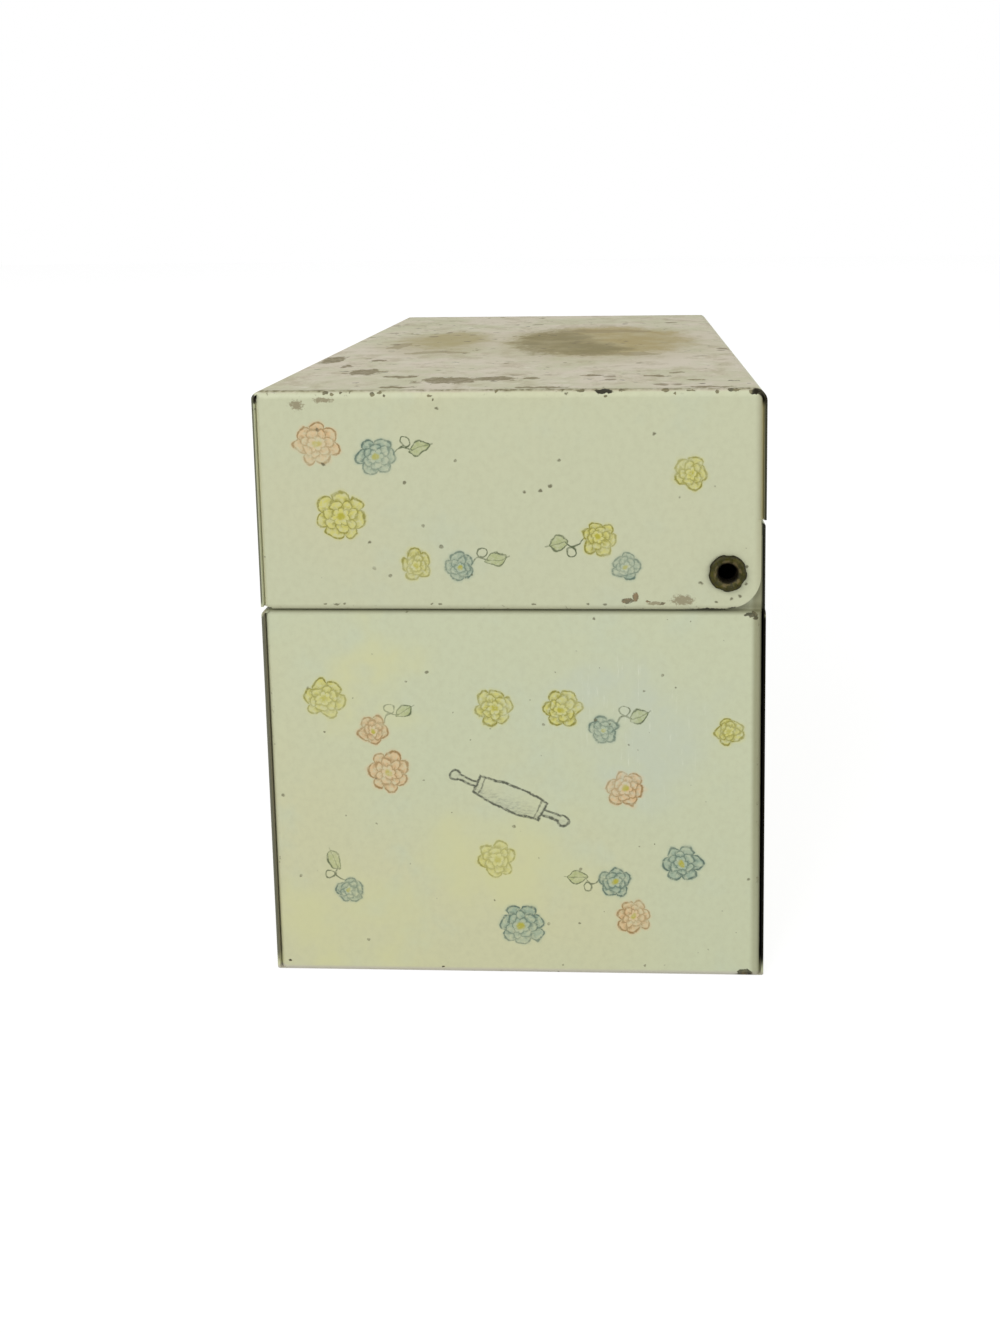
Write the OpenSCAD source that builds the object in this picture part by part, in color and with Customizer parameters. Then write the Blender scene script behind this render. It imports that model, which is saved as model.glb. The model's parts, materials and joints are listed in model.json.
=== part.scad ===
// Recipe card box of folded tin, closed, standing on its floor.
// Millimetres, +Z up. X runs along the box, the front is -Y and the hinge is at the back, +Y.
// The body and the lid are each one folded sheet, joined by two hollow eyelets.

/* [Box] */
// Length of the box over its two ends
box_l = 133; // [120:1:180]
// Depth of the box from front to back
box_w = 89; // [70:1:130]
// Height of the closed box
box_h = 108; // [96:1:140]
// Height of the lid's front and ends
lid_drop = 39; // [34:0.5:44]
// Rise of the body's rim above its shoulder
neck_h = 15.4; // [13:0.2:18]

/* [Sheet] */
// Thickness of the tin sheet
sheet_t = 0.4; // [0.3:0.05:0.5]
// Height of the folded hems
hem_h = 2; // [1.4:0.1:2.2]
// Length of the tabs inside the corners
tab_l = 9; // [6:0.5:14]
// Space left between the end of a tab and the fold or hem next to it
tab_relief = 0.4; // [0.2:0.1:1]
// How far the welds sink the tabs and corner bends into the walls outside them
weld_in = 0.1; // [0.05:0.01:0.15]

/* [Bends] */
// Outer radius of the bends round the floor
floor_bend = 0.8; // [0.6:0.1:1.2]
// Outer radius of the upright bends of the body's ends
body_side_bend = 1.7; // [1.6:0.1:2.4]
// Outer radius of the upright bends of the lid's ends
lid_side_bend = 1.6; // [1.2:0.1:2.2]
// Outer radius of the lid's top bends at the ends and front
lid_bend = 1.3; // [0.8:0.1:1.5]
// Outer radius of the lid's top bend at the back
lid_back_bend = 2; // [1:0.1:3]

/* [Shoulder] */
// How far the neck stands in from the ends and the front
shoulder_in = 1.2; // [1.1:0.1:1.4]
// Outer radius of the shoulder
shoulder_r = 0.8; // [0.6:0.1:0.9]
// Gap between the shoulder and the lid's lower edge
seam_gap = 0.3; // [0.2:0.05:0.5]
// Gap between the body's rim and the lid's back flange
back_gap = 0.6; // [0.5:0.05:1]

/* [Hinge] */
// Distance of the hinge axis from the back face
pivot_in = 6.7; // [6.4:0.1:9]
// Height of the hinge axis above the lid's lower edge
pivot_up = 6.8; // [6:0.1:8]
// Radius of the lid's ear
ear_r = 5.8; // [5:0.1:5.9]
// Height of the ear's centre above the lid's lower edge
ear_up = 6.1; // [6:0.1:6.8]
// How far short of the hinge axis the end hem stops
hem_short = 0.4; // [0.2:0.1:2]
// Outer diameter of the eyelet's barrel
barrel_d = 3.9; // [3.5:0.1:4.3]
// Bore of the eyelet
bore_d = 3.1; // [2.4:0.1:3.2]
// Diameter of the eyelet's outer flange
head_d = 6.8; // [6:0.1:7.6]
// Thickness of the eyelet's outer flange
head_h = 0.9; // [0.6:0.1:1.2]
// Radius of the eyelet's funnel mouth
mouth_r = 0.8; // [0.4:0.1:0.9]
// Diameter of the eyelet's inner flange
tail_d = 5.2; // [4.8:0.1:5.4]
// Thickness of the eyelet's inner flange
tail_h = 0.5; // [0.3:0.1:0.6]
// Radius of the boss pressed out of the neck, at its foot
boss_r = 3.5; // [3.3:0.1:3.6]
// Radius of the boss at its top
boss_top_r = 2.8; // [2.7:0.1:3]
// Gap between the boss and the lid's end panel
boss_gap = 0.15; // [0.1:0.05:0.3]
// Gap between the eyelet's outer flange and the lid
head_gap = 0.1; // [0.05:0.05:0.3]
// Radial running clearance of the lid on the eyelet
pin_clear = 0.06; // [0.03:0.01:0.1]

/* [Hidden] */
$fn = 64;
// Overlap of cutting shapes past the faces they cut
over = 1;
half_l = box_l / 2;
half_w = box_w / 2;
// Heights
lid_edge_z = box_h - lid_drop;
shoulder_z = lid_edge_z - seam_gap;
rim_z = shoulder_z + neck_h;
back_edge_z = rim_z + back_gap;
// The small hollow curve between the shoulder and the neck takes up the rest of the step
shoulder_f = shoulder_in - shoulder_r;
neck_foot_z = shoulder_z + shoulder_f;
// The neck's front corner bends share their centres with the wide bends below the shoulder
neck_bend = body_side_bend - shoulder_in;
neck_x = half_l - shoulder_in;
// Hinge axis
pivot_y = half_w - pivot_in;
pivot_z = lid_edge_z + pivot_up;
ear_z = lid_edge_z + ear_up;
boss_h = shoulder_in - sheet_t - boss_gap;
// Outer and inner faces of the tabs, inside the front and back walls
tab_outer_y = half_w - sheet_t + weld_in;
tab_inner_y = tab_outer_y - sheet_t;
// Centres of the upright corner bends
body_corner_x = half_l - body_side_bend;
body_corner_y = tab_outer_y - body_side_bend;
neck_corner_y = tab_outer_y - neck_bend;
lid_corner_x = half_l - lid_side_bend;
lid_corner_y = tab_outer_y - lid_side_bend;

// Helpers for sections and placing

// A quarter disc in the first quadrant
module quarter(r) {
    intersection() {
        circle(r = r);
        square(r);
    }
}

// Turns a section drawn in X and height into a length along Y
module along_y(y0, y1) {
    translate([0, y1, 0])
        rotate([90, 0, 0])
            linear_extrude(height = y1 - y0)
                children();
}

// Turns a section drawn in Y and height into a length along X
module along_x(x0, x1) {
    translate([x0, 0, 0])
        rotate([90, 0, 90])
            linear_extrude(height = x1 - x0)
                children();
}

// Places a piece at the right end and its mirror image at the left
module both_ends() {
    children();
    mirror([1, 0, 0])
        children();
}

// Stands a turned section on the hinge axis, its height along +X
module on_pivot(x) {
    translate([x, pivot_y, pivot_z])
        rotate([0, 90, 0])
            children();
}

// Body sections, drawn from the middle outward

// Filled half section with a plain wall, inset from the sheet's outer face
module plain_half(half, inset) {
    r = floor_bend - inset;
    translate([0, inset])
        square([half - floor_bend, rim_z - inset]);
    translate([0, floor_bend])
        square([half - inset, rim_z - floor_bend]);
    translate([half - floor_bend, floor_bend])
        mirror([0, 1])
            quarter(r);
}

// Filled half section with the shoulder and the neck, inset from the sheet's outer face
module necked_half(half, inset) {
    r = floor_bend - inset;
    s = shoulder_r - inset;
    f = shoulder_f + inset;
    low = shoulder_z - shoulder_r;
    translate([0, inset])
        square([half - floor_bend, floor_bend]);
    translate([half - floor_bend, floor_bend])
        mirror([0, 1])
            quarter(r);
    translate([0, floor_bend])
        square([half - inset, low - floor_bend]);
    translate([0, low])
        square([half - shoulder_r, s]);
    translate([half - shoulder_r, low])
        quarter(s);
    translate([0, low])
        square([half - shoulder_in - inset, rim_z - low]);
    difference() {
        translate([half - shoulder_r - f, neck_foot_z - f])
            square(f);
        translate([half - shoulder_r, neck_foot_z])
            circle(r = f);
    }
}

// The folded top edge: two layers of sheet with a round fold, below the outer face at x
module rim_hem(x) {
    translate([x - 2 * sheet_t, rim_z - hem_h])
        square([2 * sheet_t, hem_h - sheet_t]);
    translate([x - sheet_t, rim_z - sheet_t])
        intersection() {
            circle(r = sheet_t);
            translate([-sheet_t, 0])
                square([2 * sheet_t, sheet_t]);
        }
}

// Keeps what lies below the fold of the rim
module below_fold() {
    intersection() {
        children();
        translate([0, -over])
            square([box_l + box_w, rim_z - sheet_t + over]);
    }
}

module necked_sheet(half) {
    below_fold()
        difference() {
            necked_half(half, 0);
            necked_half(half, sheet_t);
        }
}

module plain_sheet(half) {
    below_fold()
        difference() {
            plain_half(half, 0);
            plain_half(half, sheet_t);
        }
}

// Body: one sheet folded up from the floor

// Outline of the whole body seen from the front
module body_outline() {
    along_y(-half_w, half_w) {
        necked_half(half_l, 0);
        mirror([1, 0])
            necked_half(half_l, 0);
    }
}

// Front wall, floor and back wall; their raw side edges show at the ends
module body_wrap() {
    intersection() {
        union() {
            along_x(-half_l, half_l) {
                mirror([1, 0])
                    necked_sheet(half_w);
                plain_sheet(half_w);
            }
            along_x(-neck_x, neck_x) {
                mirror([1, 0])
                    rim_hem(half_w - shoulder_in);
                rim_hem(half_w);
            }
        }
        body_outline();
    }
}

// Section of the end's sheet from the axis of its corner bends outward
module end_section() {
    intersection() {
        translate([-body_corner_x, 0])
            necked_sheet(half_l);
        square([body_side_bend, rim_z]);
    }
}

// End wall with its hem, and the bend at its front corner, which follows the shoulder round
module body_end() {
    translate([body_corner_x, -body_corner_y, 0]) {
        along_y(0, 2 * body_corner_y)
            end_section();
        rotate([0, 0, -90])
            rotate_extrude(angle = 90)
                end_section();
    }
    along_y(-body_corner_y, neck_corner_y)
        rim_hem(neck_x);
}

// A bend a quarter of the way round an upright axis
module upright_bend(r, bottom, top) {
    translate([0, 0, bottom])
        linear_extrude(height = top - bottom)
            difference() {
                quarter(r);
                circle(r = r - sheet_t);
            }
}

// The bend at a back corner: only the end steps in, because the back wall is flat
module body_back_corner() {
    translate([body_corner_x, body_corner_y, 0]) {
        intersection() {
            union() {
                along_y(0, body_side_bend)
                    end_section();
                intersection() {
                    upright_bend(body_side_bend, 0, neck_foot_z);
                    along_y(0, body_side_bend)
                        translate([-body_corner_x, 0])
                            necked_half(half_l, sheet_t / 2);
                }
                upright_bend(body_side_bend, floor_bend, shoulder_z - shoulder_r);
            }
            linear_extrude(height = neck_foot_z)
                quarter(body_side_bend);
            along_x(0, body_side_bend)
                translate([-body_corner_y, 0])
                    plain_half(half_w, sheet_t - weld_in);
        }
        intersection() {
            along_y(0, neck_corner_y - body_corner_y)
                end_section();
            translate([0, 0, neck_foot_z])
                cube([body_side_bend, body_side_bend, rim_z - neck_foot_z]);
        }
    }
    translate([body_corner_x, neck_corner_y, 0])
        upright_bend(neck_bend, neck_foot_z, rim_z - sheet_t);
}

// Tabs of the end, flat against the inside of the front and back walls
module body_tabs() {
    bottom = floor_bend + tab_relief;
    front_top = shoulder_z - shoulder_r - tab_relief;
    back_top = rim_z - hem_h - tab_relief;
    translate([body_corner_x - tab_l, -tab_outer_y, bottom])
        cube([tab_l, sheet_t, front_top - bottom]);
    translate([body_corner_x - tab_l, tab_inner_y, bottom])
        cube([tab_l, sheet_t, back_top - bottom]);
}

// The boss holds the neck up to the lid round the eyelet; it is hollow behind
module boss(x) {
    on_pivot(x)
        cylinder(r1 = boss_r, r2 = boss_top_r, h = boss_h);
    on_pivot(x - sheet_t / 2)
        cylinder(r = boss_r, h = sheet_t / 2);
}

module body_shell() {
    color("lightyellow")
        difference() {
            union() {
                body_wrap();
                both_ends() {
                    body_end();
                    body_back_corner();
                    body_tabs();
                    boss(neck_x);
                }
            }
            both_ends() {
                boss(neck_x - sheet_t);
                on_pivot(neck_x - sheet_t - over)
                    cylinder(d = barrel_d, h = boss_h + sheet_t + 2 * over);
            }
        }
}

// Lid sections, drawn from the middle outward

// Filled half section from a lower edge to the top, inset from the sheet's outer face
module lid_half(half, inset, bend, edge_z) {
    top = box_h - inset;
    translate([0, edge_z])
        square([half - inset, box_h - bend - edge_z]);
    translate([0, edge_z])
        square([half - bend, top - edge_z]);
    translate([half - bend, box_h - bend])
        quarter(bend - inset);
}

// The sheet itself, stopping where the fold of its hem begins
module lid_sheet(half, bend, edge_z) {
    difference() {
        lid_half(half, 0, bend, edge_z + sheet_t);
        lid_half(half, sheet_t, bend, edge_z + sheet_t);
    }
}

// The folded lower edge: two layers of sheet with a round fold, inside the outer face at x
module edge_hem(x, edge_z) {
    translate([x - 2 * sheet_t, edge_z + sheet_t])
        square([2 * sheet_t, hem_h - sheet_t]);
    translate([x - sheet_t, edge_z + sheet_t])
        intersection() {
            circle(r = sheet_t);
            translate([-sheet_t, -sheet_t])
                square([2 * sheet_t, sheet_t]);
        }
}

// Lid: one sheet folded down from the top

// Outline of the whole lid seen from the front
module lid_outline() {
    along_y(-half_w, half_w) {
        lid_half(half_l, 0, lid_bend, lid_edge_z);
        mirror([1, 0])
            lid_half(half_l, 0, lid_bend, lid_edge_z);
    }
}

// Front flange, top and back flange; their raw side edges show at the ends
module lid_wrap() {
    intersection() {
        union() {
            along_x(-half_l, half_l) {
                mirror([1, 0])
                    lid_sheet(half_w, lid_bend, lid_edge_z);
                lid_sheet(half_w, lid_back_bend, back_edge_z);
            }
            along_x(-lid_corner_x, lid_corner_x) {
                mirror([1, 0])
                    edge_hem(half_w, lid_edge_z);
                edge_hem(half_w, back_edge_z);
            }
        }
        lid_outline();
    }
}

// Outline of an end panel seen from the end: full above the back flange, an ear below it
module end_outline() {
    wall_z = lid_edge_z + sheet_t;
    notch_z = back_edge_z + tab_relief;
    translate([-half_w, wall_z])
        square([half_w + pivot_y - hem_short, box_h - wall_z]);
    translate([-half_w, ear_z])
        square([half_w + pivot_y + ear_r, box_h - ear_z]);
    translate([-half_w, notch_z])
        square([box_w, box_h - notch_z]);
    translate([pivot_y, ear_z])
        circle(r = ear_r);
}

// End panel with its top bend, and the flat ear behind the hinge axis
module lid_end() {
    intersection() {
        union() {
            along_y(-lid_corner_y, lid_corner_y)
                lid_sheet(half_l, lid_bend, lid_edge_z - sheet_t);
            translate([half_l - sheet_t, pivot_y, lid_edge_z])
                cube([sheet_t, pivot_in, back_edge_z + tab_relief - lid_edge_z]);
        }
        along_x(0, half_l)
            end_outline();
    }
    along_y(-lid_corner_y, pivot_y - hem_short)
        edge_hem(half_l, lid_edge_z);
}

// Upright bend of the end panel at a back corner, from its lower edge up to the top
module lid_corner(edge_z) {
    intersection() {
        union() {
            along_y(lid_corner_y, tab_outer_y)
                lid_sheet(half_l, lid_bend, edge_z - sheet_t);
            translate([lid_corner_x, lid_corner_y, 0])
                upright_bend(lid_side_bend, edge_z, box_h);
        }
        translate([lid_corner_x, lid_corner_y, edge_z])
            linear_extrude(height = box_h - edge_z)
                quarter(lid_side_bend);
    }
}

// Tab against the inside of a flange, from a lower to an upper height
module lid_tab(bottom, top) {
    translate([lid_corner_x - tab_l, tab_inner_y, bottom])
        cube([tab_l, sheet_t, top - bottom]);
}

// The right end with its corners and tabs, all inside the front and back flanges
module lid_end_sheet() {
    intersection() {
        union() {
            lid_end();
            lid_corner(back_edge_z + tab_relief);
            lid_tab(back_edge_z + hem_h + tab_relief, box_h - lid_back_bend - tab_relief);
            mirror([0, 1, 0]) {
                lid_corner(lid_edge_z + sheet_t);
                lid_tab(lid_edge_z + hem_h + tab_relief, box_h - lid_bend - tab_relief);
            }
        }
        lid_outline();
        along_x(0, half_l) {
            mirror([1, 0])
                lid_half(half_w, sheet_t - weld_in, lid_bend, lid_edge_z);
            lid_half(half_w, sheet_t - weld_in, lid_back_bend, lid_edge_z);
        }
    }
}

module lid_shell() {
    color("beige")
        difference() {
            union() {
                lid_wrap();
                both_ends()
                    lid_end_sheet();
            }
            both_ends()
                on_pivot(half_l - sheet_t - over)
                    cylinder(d = barrel_d + 2 * pin_clear, h = sheet_t + 2 * over);
        }
}

// Eyelet, turned about the hinge axis: radius outward, height along +X from the lid's face

module eyelet_section() {
    tail_x = neck_x + boss_h - sheet_t - half_l;
    head_top = head_gap + head_h;
    edge_r = head_h / 2;
    bore_r = bore_d / 2;
    // Barrel
    translate([bore_r, tail_x - tail_h])
        square([(barrel_d - bore_d) / 2, head_gap - tail_x + tail_h]);
    // Inner flange, clinched behind the neck
    translate([bore_r, tail_x - tail_h])
        square([tail_d / 2 - bore_r, tail_h]);
    // Outer flange with a rolled rim and a funnel mouth
    translate([bore_r + mouth_r, head_gap])
        square([head_d / 2 - edge_r - bore_r - mouth_r, head_h]);
    translate([head_d / 2 - edge_r, head_gap + edge_r])
        circle(r = edge_r);
    difference() {
        translate([bore_r, head_gap])
            square([mouth_r, head_h]);
        translate([bore_r, head_top - mouth_r])
            square(mouth_r);
    }
    translate([bore_r + mouth_r, head_top - mouth_r])
        mirror([1, 0])
            quarter(mouth_r);
}

module eyelet() {
    on_pivot(half_l)
        rotate_extrude()
            eyelet_section();
}

module hinge_eyelet_right() {
    color("darkgoldenrod")
        eyelet();
}

module hinge_eyelet_left() {
    color("darkgoldenrod")
        mirror([1, 0, 0])
            eyelet();
}

body_shell();
lid_shell();
hinge_eyelet_right();
hinge_eyelet_left();
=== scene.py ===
import json
import math

import bpy
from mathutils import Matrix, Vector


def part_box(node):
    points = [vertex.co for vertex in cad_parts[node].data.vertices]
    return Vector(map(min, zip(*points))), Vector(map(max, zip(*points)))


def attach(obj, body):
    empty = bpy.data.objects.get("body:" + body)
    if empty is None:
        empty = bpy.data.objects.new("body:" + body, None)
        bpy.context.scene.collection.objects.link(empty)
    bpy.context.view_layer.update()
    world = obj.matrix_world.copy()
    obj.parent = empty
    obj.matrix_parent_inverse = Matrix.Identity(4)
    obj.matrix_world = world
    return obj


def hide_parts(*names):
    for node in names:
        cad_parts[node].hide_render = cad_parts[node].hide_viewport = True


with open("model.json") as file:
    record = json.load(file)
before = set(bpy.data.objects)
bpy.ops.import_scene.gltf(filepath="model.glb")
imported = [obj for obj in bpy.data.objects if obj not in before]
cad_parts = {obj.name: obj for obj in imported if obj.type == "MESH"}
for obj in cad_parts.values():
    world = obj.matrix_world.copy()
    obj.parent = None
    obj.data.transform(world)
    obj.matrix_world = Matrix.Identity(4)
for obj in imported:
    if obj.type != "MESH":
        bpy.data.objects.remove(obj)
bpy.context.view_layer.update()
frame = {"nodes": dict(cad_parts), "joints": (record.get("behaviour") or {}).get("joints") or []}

# Body. The lower box is one sheet of tinplate folded up from the floor, with its corner tabs inside the
# walls. It was sprayed with a cream-green enamel and printed with small posies, and only the inside was
# left as bare tin.

# Millimetres from the middle of the underside to each face, to the lid's edge and to the shoulder
end_face, side_face, rim = (round(1000 * size, 2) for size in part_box("body_shell")[1])
lid_edge = round(1000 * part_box("lid_shell")[0][2], 2)
shoulder = lid_edge - 0.3
neck_set_in = 1.2

# The print: the ground that each flower has, where in the pattern the body's print is cut from, how far
# apart the prints of its walls are cut, the middle of the rolling pin, and a full turn in radians
flower_spacing = 15.0
body_print = 61.0
prints_apart = 300.0
pin_middle = (-1.0, 34.0)
full_turn = 6.283


def give(tree, socket, value):
    """Links a socket's value, or sets it."""
    if isinstance(value, bpy.types.NodeSocket):
        tree.links.new(value, socket)
    elif value is not None:
        socket.default_value = value


def feed(tree, node, **values):
    """Links or sets inputs of a node by their names."""
    for name, value in values.items():
        give(tree, node.inputs[name], value)


def put(tree, kind, *values, **settings):
    """Adds a shader node with its settings, and fills its first inputs in order."""
    made = tree.nodes.new("ShaderNode" + kind)
    for name, value in settings.items():
        setattr(made, name, value)
    for socket, value in zip(made.inputs, values):
        give(tree, socket, value)
    return made


def calc(tree, operation, *values):
    """A sum worked out on numbers."""
    return put(tree, "Math", *values, operation=operation).outputs[0]


def shift(tree, operation, *values):
    """A sum worked out on places, which gives a place or a length."""
    made = put(tree, "VectorMath", *values, operation=operation)
    return made.outputs["Value" if operation in ("LENGTH", "DISTANCE") else "Vector"]


def spot_of(tree, *values):
    """A place put together from its two or three parts."""
    return put(tree, "CombineXYZ", *values).outputs[0]


def fade(tree, value, start, end, low=0.0, high=1.0):
    """low where value is at start, high where it is at end, with soft ends."""
    return put(tree, "MapRange", value, start, end, low, high, interpolation_type="SMOOTHSTEP").outputs[0]


def blend(tree, amount, first, second):
    """The first number where amount is 0, the second where it is 1."""
    return put(tree, "Mix", amount, None, first, second, data_type="FLOAT").outputs[0]


def mottle(tree, place, scale, detail=3.0, roughness=0.6):
    """Cloudy noise, with finer clouds at a larger scale."""
    made = put(tree, "TexNoise")
    feed(tree, made, Vector=place, Scale=scale, Detail=detail, Roughness=roughness)
    return made.outputs["Fac"]


def paint(tree, amount, under, over):
    """One colour laid over another where amount says."""
    made = put(tree, "Mix", data_type="RGBA")
    give(tree, made.inputs[0], amount)
    give(tree, made.inputs[6], under)
    give(tree, made.inputs[7], over)
    return made.outputs[2]


def colour(red, green, blue):
    """A colour given as 0 to 255, as the shader wants it."""
    def linear(part):
        return ((part / 255 + 0.055) / 1.055) ** 2.4 if part > 10 else part / 3294.6

    return linear(red), linear(green), linear(blue), 1.0


def both(tree, *masks):
    """Where all of the masks are, each of them weakening the others."""
    made = masks[0]
    for mask in masks[1:]:
        made = calc(tree, "MULTIPLY", made, mask)
    return made


def either(tree, *masks):
    """Where any of the masks is."""
    made = masks[0]
    for mask in masks[1:]:
        made = calc(tree, "MAXIMUM", made, mask)
    return made


def stroke(tree, distance, width, core=0.05):
    """A pencil line along the place where distance is nothing."""
    return fade(tree, calc(tree, "ABSOLUTE", distance), width, core)


def blots(tree, place, marks, soft=0.5):
    """Rounded stains, each full at its middle and gone at its edge, from their centres and half widths."""
    spots = []
    for centre, radii in marks:
        away = shift(tree, "DIVIDE", shift(tree, "SUBTRACT", place, centre), radii)
        spots.append(fade(tree, shift(tree, "LENGTH", away), 1.0, 1.0 - soft))
    return either(tree, *spots)


def end_blots(tree, place, marks, soft, deep=2):
    """Stains on the photographed end, each by how far back and how high it is, and its two half widths."""
    places = [((end_face - 0.5, back, up), (deep, wide, tall)) for back, up, wide, tall in marks]
    return blots(tree, place, places, soft)


def ragged(tree, soft, noise, rough=0.7, blur=0.1):
    """Bites into a soft stain with noise, so that its edge comes out uneven, and crisp or blurred."""
    level = calc(tree, "MULTIPLY_ADD", calc(tree, "SUBTRACT", noise, 0.5), rough * 2.0, soft)
    return both(tree, fade(tree, level, 0.5 - blur, 0.5 + blur), fade(tree, soft, 0.0, 0.1))


def spot_in_mm(tree):
    """The place on the box in millimetres."""
    return shift(tree, "MULTIPLY", put(tree, "TexCoord").outputs["Object"], (1000, 1000, 1000))


def place_in_mm(tree):
    """The same place with its three parts, and how far it is from the middle along and across the box."""
    spot = spot_in_mm(tree)
    x, y, z = put(tree, "SeparateXYZ", spot).outputs
    return spot, x, y, z, calc(tree, "ABSOLUTE", x), calc(tree, "ABSOLUTE", y)


def past_corner(tree, a, b, centre_a, centre_b):
    """How far a point is from the axis of the round corner between two walls."""
    a = calc(tree, "MAXIMUM", calc(tree, "SUBTRACT", a, centre_a), 0.0)
    b = calc(tree, "MAXIMUM", calc(tree, "SUBTRACT", b, centre_b), 0.0)
    return shift(tree, "LENGTH", spot_of(tree, a, b))


def wander(tree, spot, scale, reach, detail=3.0):
    """The place, moved about by noise, so that what is drawn on it gets a ragged edge."""
    stray = put(tree, "TexNoise", spot)
    feed(tree, stray, Scale=scale, Detail=detail)
    stray = shift(tree, "SUBTRACT", stray.outputs["Color"], (0.5, 0.5, 0.5))
    return shift(tree, "MULTIPLY_ADD", stray, (reach, reach, reach), spot)


def panel_place(tree, x, y, across_x, layout):
    """How far along a wall a point is, as read from outside, and that wall's own place in the pattern."""
    on_end = fade(tree, across_x, end_face - 2.1, end_face - 2.0)
    right, back = calc(tree, "SIGN", x), calc(tree, "SIGN", y)
    along_side = both(tree, x, back, -1.0)
    along = blend(tree, on_end, along_side, both(tree, y, right))
    apart_end = calc(tree, "MULTIPLY_ADD", right, -prints_apart, layout)
    apart_side = calc(tree, "MULTIPLY_ADD", back, -prints_apart, layout + 3 * prints_apart)
    reach = blend(tree, on_end, end_face - 4.0, side_face - 2.3)
    return along, blend(tree, on_end, apart_side, apart_end), reach, on_end


def flower_cells(tree, place, feature="F1"):
    """The ground shared out among the flowers, one patch to each."""
    cells = put(tree, "TexVoronoi", voronoi_dimensions="2D", feature=feature)
    feed(tree, cells, Vector=place, Scale=1 / flower_spacing, Randomness=0.85)
    return cells.outputs


def flower_head(tree, over, up, distance, radius, size, turn):
    """A double flower: five to seven petals, and two smaller rows inside them round a small eye."""
    angle = calc(tree, "MULTIPLY_ADD", turn, full_turn, calc(tree, "ARCTAN2", up, over))
    half = calc(tree, "MULTIPLY_ADD", calc(tree, "FLOOR", calc(tree, "MULTIPLY", size, 2.99)), 0.5, 2.5)
    turned = calc(tree, "MULTIPLY", angle, half)
    wave = calc(tree, "ABSOLUTE", calc(tree, "COSINE", turned))
    between = calc(tree, "ABSOLUTE", calc(tree, "SINE", turned))

    def row(of_petals, deep, round_out):
        lobe = calc(tree, "MULTIPLY_ADD", calc(tree, "POWER", of_petals, 0.5), round_out, deep)
        return calc(tree, "SUBTRACT", distance, calc(tree, "MULTIPLY", radius, lobe))

    def seam(of_petals, width, from_row, to_row):
        thin = fade(tree, both(tree, of_petals, distance, 0.3), width, 0.05)
        return both(tree, thin, fade(tree, from_row, -0.1, 0.1), fade(tree, to_row, 0.1, -0.1))

    edge, second_row, inner = row(wave, 0.7, 0.3), row(between, 0.48, 0.22), row(wave, 0.24, 0.16)
    line, second_line = stroke(tree, edge, 0.3, 0.06), stroke(tree, second_row, 0.28, 0.06)
    inner_line = stroke(tree, inner, 0.26, 0.06)
    seams = either(tree, seam(wave, 0.22, second_row, edge), seam(between, 0.2, inner, second_row))
    lines = either(
        tree,
        line,
        calc(tree, "MULTIPLY", either(tree, seams, second_line), 0.85),
        calc(tree, "MULTIPLY", inner_line, 0.75),
    )
    shade = either(
        tree,
        both(tree, fade(tree, second_row, 1.0, 0.0), fade(tree, second_row, -0.3, 0.1)),
        both(tree, fade(tree, inner, 0.9, 0.0), fade(tree, inner, -0.3, 0.1)),
    )
    hatch = mottle(tree, spot_of(tree, calc(tree, "MULTIPLY", angle, 3.0), distance, turn), 1.4, 2.0)
    hatch = fade(tree, hatch, 0.46, 0.6)
    shade = both(tree, shade, fade(tree, hatch, 0.0, 1.0, 0.25, 0.75))
    fill = fade(tree, edge, 0.8, -0.35)
    eye = fade(tree, distance, calc(tree, "MULTIPLY", radius, 0.24), calc(tree, "MULTIPLY", radius, 0.1))
    return either(tree, lines, shade), fill, eye


def sprig(tree, over, up, radius, cos, sin):
    """A bowed stem with a curl and one leaf, grown out of a flower's edge."""
    out = calc(tree, "ADD", both(tree, over, cos), both(tree, up, sin))
    side = calc(tree, "SUBTRACT", both(tree, up, cos), both(tree, over, sin))
    out = calc(tree, "SUBTRACT", out, radius)
    bow = calc(tree, "MULTIPLY", calc(tree, "SINE", calc(tree, "MULTIPLY", out, 1.2)), 0.8)
    stem = stroke(tree, calc(tree, "SUBTRACT", side, bow), 0.24, 0.06)
    stem = both(tree, stem, fade(tree, out, -0.5, -0.2), fade(tree, out, 3.1, 2.9))
    leaf_out = calc(tree, "SUBTRACT", out, 4.4)
    swell = calc(tree, "MULTIPLY_ADD", both(tree, leaf_out, leaf_out), -0.36, 1.2)
    swell = calc(tree, "MULTIPLY_ADD", leaf_out, -0.2, swell)
    off_rib = calc(tree, "ABSOLUTE", calc(tree, "ADD", side, 0.35))
    leaf = calc(tree, "SUBTRACT", off_rib, swell)
    on_leaf = fade(tree, calc(tree, "ABSOLUTE", leaf_out), 2.3, 2.1)
    leaf_fill = both(tree, fade(tree, leaf, 0.4, -0.3), on_leaf)
    leaf_line = both(tree, stroke(tree, leaf, 0.24), on_leaf)
    rib = both(tree, fade(tree, off_rib, 0.16, 0.03), on_leaf, 0.6)
    curl = spot_of(tree, calc(tree, "SUBTRACT", out, 2.1), calc(tree, "SUBTRACT", side, 1.5))
    curl = stroke(tree, calc(tree, "SUBTRACT", shift(tree, "LENGTH", curl), 0.8), 0.2)
    return leaf_fill, either(tree, stem, leaf_line, curl, rib)


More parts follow.
